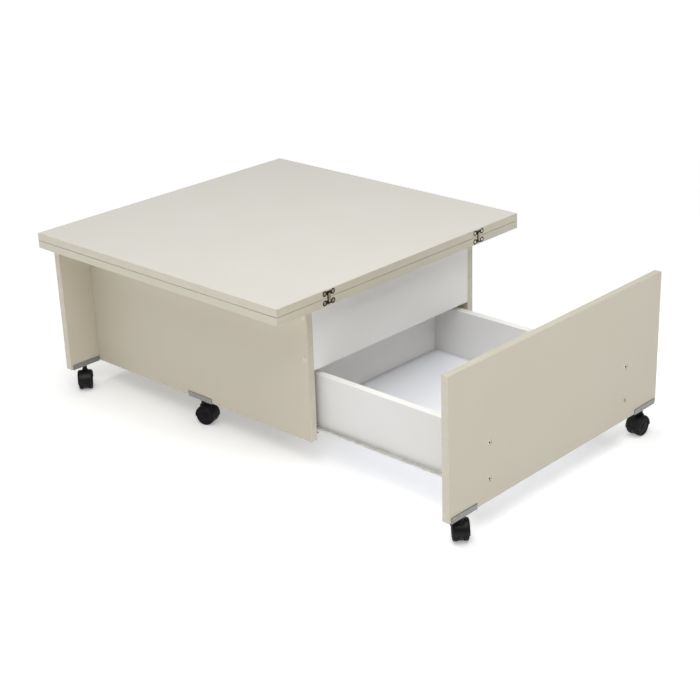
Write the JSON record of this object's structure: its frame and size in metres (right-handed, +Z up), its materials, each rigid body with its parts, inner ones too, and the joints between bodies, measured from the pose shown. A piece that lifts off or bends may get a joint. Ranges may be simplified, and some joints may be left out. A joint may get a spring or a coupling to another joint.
{
  "type": "lift top coffee table",
  "caption": "Square coffee table on castors: two stacked leaves that fold out on edge hinges, over a panelled carcass with a deep full-width drawer on roller rails.",
  "frame": {"origin": "on the floor, midway between the left castors' swivel axes and those of the pulled-out drawer's castors, on the table's centre line", "axes": "+X the way the drawer pulls out, +Y across the table to its far side, +Z up"},
  "size_m": [1.2374, 0.8, 0.419],
  "materials": {
    "panel": "cream melamine on particleboard, satin",
    "leaf": "warm light grey melamine on particleboard, satin",
    "white_board": "white melamine on particleboard, satin",
    "drawer_base": "white lacquered fibreboard, satin",
    "cap_plastic": "satin",
    "screw_steel": "zinc plated",
    "hinge_screw": "nickel plated",
    "hinge_cup": "dark bronzed",
    "hinge_link": "bronzed, satin",
    "bracket_zinc": "zinc plated sheet",
    "channel_zinc": "zinc plated sheet",
    "rail_zinc": "powder coated sheet, satin",
    "pin_steel": "zinc plated",
    "roller_plastic": "satin",
    "soft_pad": "matt",
    "hood_plastic": "satin",
    "wheel_plastic": "satin"
  },
  "bodies": {
    "table": {"left_end_panel": "panel", "near_side_panel": "panel", "far_side_panel": "panel", "fascia_panel": "white_board", "lower_leaf": "leaf", "carcass_screws": "screw_steel", "screw_caps": "cap_plastic", "angle_brackets": "bracket_zinc", "bracket_screws": "screw_steel", "seam_bumpers": "soft_pad", "lower_hinge_cups": "hinge_cup", "lower_hinge_screws": "hinge_screw", "near_cabinet_rail": "rail_zinc", "far_cabinet_rail": "rail_zinc", "cabinet_rail_screws": "screw_steel", "cabinet_roller_pins": "pin_steel", "carcass_castor_channels": "channel_zinc", "carcass_channel_screws": "screw_steel", "carcass_castor_stems": "pin_steel", "drawer_stop_pads": "soft_pad"},
    "top_leaf": {"upper_leaf": "leaf", "upper_hinge_cups": "hinge_cup", "upper_hinge_screws": "hinge_screw"},
    "near_link": {"near_hinge_link": "hinge_link"},
    "far_link": {"far_hinge_link": "hinge_link"},
    "drawer": {"drawer_front": "panel", "near_drawer_side": "white_board", "far_drawer_side": "white_board", "drawer_back": "white_board", "drawer_bottom": "drawer_base", "drawer_screws": "screw_steel", "near_drawer_rail": "rail_zinc", "far_drawer_rail": "rail_zinc", "drawer_rail_screws": "screw_steel", "drawer_roller_pins": "pin_steel", "drawer_castor_channels": "channel_zinc", "drawer_channel_screws": "screw_steel", "drawer_castor_stems": "pin_steel"},
    "near_cabinet_roller": {"near_cabinet_roller": "roller_plastic"},
    "far_cabinet_roller": {"far_cabinet_roller": "roller_plastic"},
    "near_drawer_roller": {"near_drawer_roller": "roller_plastic"},
    "far_drawer_roller": {"far_drawer_roller": "roller_plastic"},
    "near_left_castor": {"near_left_hood": "hood_plastic"},
    "near_left_wheelset": {"near_left_wheels": "wheel_plastic", "near_left_axle": "pin_steel"},
    "far_left_castor": {"far_left_hood": "hood_plastic"},
    "far_left_wheelset": {"far_left_wheels": "wheel_plastic", "far_left_axle": "pin_steel"},
    "near_middle_castor": {"near_middle_hood": "hood_plastic"},
    "near_middle_wheelset": {"near_middle_wheels": "wheel_plastic", "near_middle_axle": "pin_steel"},
    "far_middle_castor": {"far_middle_hood": "hood_plastic"},
    "far_middle_wheelset": {"far_middle_wheels": "wheel_plastic", "far_middle_axle": "pin_steel"},
    "near_front_castor": {"near_front_hood": "hood_plastic"},
    "near_front_wheelset": {"near_front_wheels": "wheel_plastic", "near_front_axle": "pin_steel"},
    "far_front_castor": {"far_front_hood": "hood_plastic"},
    "far_front_wheelset": {"far_front_wheels": "wheel_plastic", "far_front_axle": "pin_steel"}
  },
  "joints": [
    {"name": "leaf_flip", "type": "hinge", "parent": "table", "child": "top_leaf", "pos_m": [0.18615, 0, 0.4006], "axis": [0, 1, 0], "range_deg": [0, 180]},
    {"name": "near_link_turn", "type": "hinge", "parent": "table", "child": "near_link", "pos_m": [0.18615, -0.247, 0.4006], "axis": [0, 1, 0], "range_deg": [0, 90]},
    {"name": "far_link_turn", "type": "hinge", "parent": "table", "child": "far_link", "pos_m": [0.18615, 0.253, 0.4006], "axis": [0, 1, 0], "range_deg": [0, 90]},
    {"name": "drawer_slide", "type": "slide", "parent": "table", "child": "drawer", "axis": [1, 0, 0], "range_m": [-0.439, 0.02]},
    {"name": "near_cabinet_roller_spin", "type": "hinge", "parent": "table", "child": "near_cabinet_roller", "pos_m": [0.13475, -0.2539, 0.0827], "axis": [0, 1, 0], "range_deg": [-4200, 200]},
    {"name": "near_drawer_roller_spin", "type": "hinge", "parent": "drawer", "child": "near_drawer_roller", "pos_m": [0.09775, -0.2539, 0.0819], "axis": [0, 1, 0], "range_deg": [-4200, 200]},
    {"name": "far_cabinet_roller_spin", "type": "hinge", "parent": "table", "child": "far_cabinet_roller", "pos_m": [0.13475, 0.2539, 0.0827], "axis": [0, 1, 0], "range_deg": [-4200, 200]},
    {"name": "far_drawer_roller_spin", "type": "hinge", "parent": "drawer", "child": "far_drawer_roller", "pos_m": [0.09775, 0.2539, 0.0819], "axis": [0, 1, 0], "range_deg": [-4200, 200]},
    {"name": "near_left_swivel", "type": "hinge", "parent": "table", "child": "near_left_castor", "pos_m": [-0.59675, -0.32, 0.05], "axis": [0, 0, 1], "continuous": true},
    {"name": "near_left_roll", "type": "hinge", "parent": "near_left_castor", "child": "near_left_wheelset", "pos_m": [-0.58986, -0.32578, 0.023], "axis": [0.6428, 0.766, 0], "continuous": true},
    {"name": "far_left_swivel", "type": "hinge", "parent": "table", "child": "far_left_castor", "pos_m": [-0.59675, 0.32, 0.05], "axis": [0, 0, 1], "continuous": true},
    {"name": "far_left_roll", "type": "hinge", "parent": "far_left_castor", "child": "far_left_wheelset", "pos_m": [-0.59442, 0.32869, 0.023], "axis": [-0.9659, 0.2588, 0], "continuous": true},
    {"name": "near_middle_swivel", "type": "hinge", "parent": "table", "child": "near_middle_castor", "pos_m": [-0.21425, -0.27, 0.05], "axis": [0, 0, 1], "continuous": true},
    {"name": "near_middle_roll", "type": "hinge", "parent": "near_middle_castor", "child": "near_middle_wheelset", "pos_m": [-0.20569, -0.26722, 0.023], "axis": [-0.309, 0.9511, 0], "continuous": true},
    {"name": "far_middle_swivel", "type": "hinge", "parent": "table", "child": "far_middle_castor", "pos_m": [-0.21425, 0.27, 0.05], "axis": [0, 0, 1], "continuous": true},
    {"name": "far_middle_roll", "type": "hinge", "parent": "far_middle_castor", "child": "far_middle_wheelset", "pos_m": [-0.22241, 0.2662, 0.023], "axis": [0.4226, -0.9063, 0], "continuous": true},
    {"name": "near_front_swivel", "type": "hinge", "parent": "drawer", "child": "near_front_castor", "pos_m": [0.59675, -0.32, 0.05], "axis": [0, 0, 1], "continuous": true},
    {"name": "near_front_roll", "type": "hinge", "parent": "near_front_castor", "child": "near_front_wheelset", "pos_m": [0.59028, -0.31375, 0.023], "axis": [-0.6947, -0.7193, 0], "continuous": true},
    {"name": "far_front_swivel", "type": "hinge", "parent": "drawer", "child": "far_front_castor", "pos_m": [0.59675, 0.32, 0.05], "axis": [0, 0, 1], "continuous": true},
    {"name": "far_front_roll", "type": "hinge", "parent": "far_front_castor", "child": "far_front_wheelset", "pos_m": [0.59675, 0.311, 0.023], "axis": [1, 0, 0], "continuous": true}
  ],
  "couplings": [
    {"joint": "near_link_turn", "follows": "leaf_flip", "ratio": 0.5},
    {"joint": "far_link_turn", "follows": "leaf_flip", "ratio": 0.5},
    {"joint": "near_cabinet_roller_spin", "follows": "drawer_slide", "rad_per_m": 166.67},
    {"joint": "near_drawer_roller_spin", "follows": "drawer_slide", "rad_per_m": 166.67},
    {"joint": "far_cabinet_roller_spin", "follows": "drawer_slide", "rad_per_m": 166.67},
    {"joint": "far_drawer_roller_spin", "follows": "drawer_slide", "rad_per_m": 166.67}
  ]
}
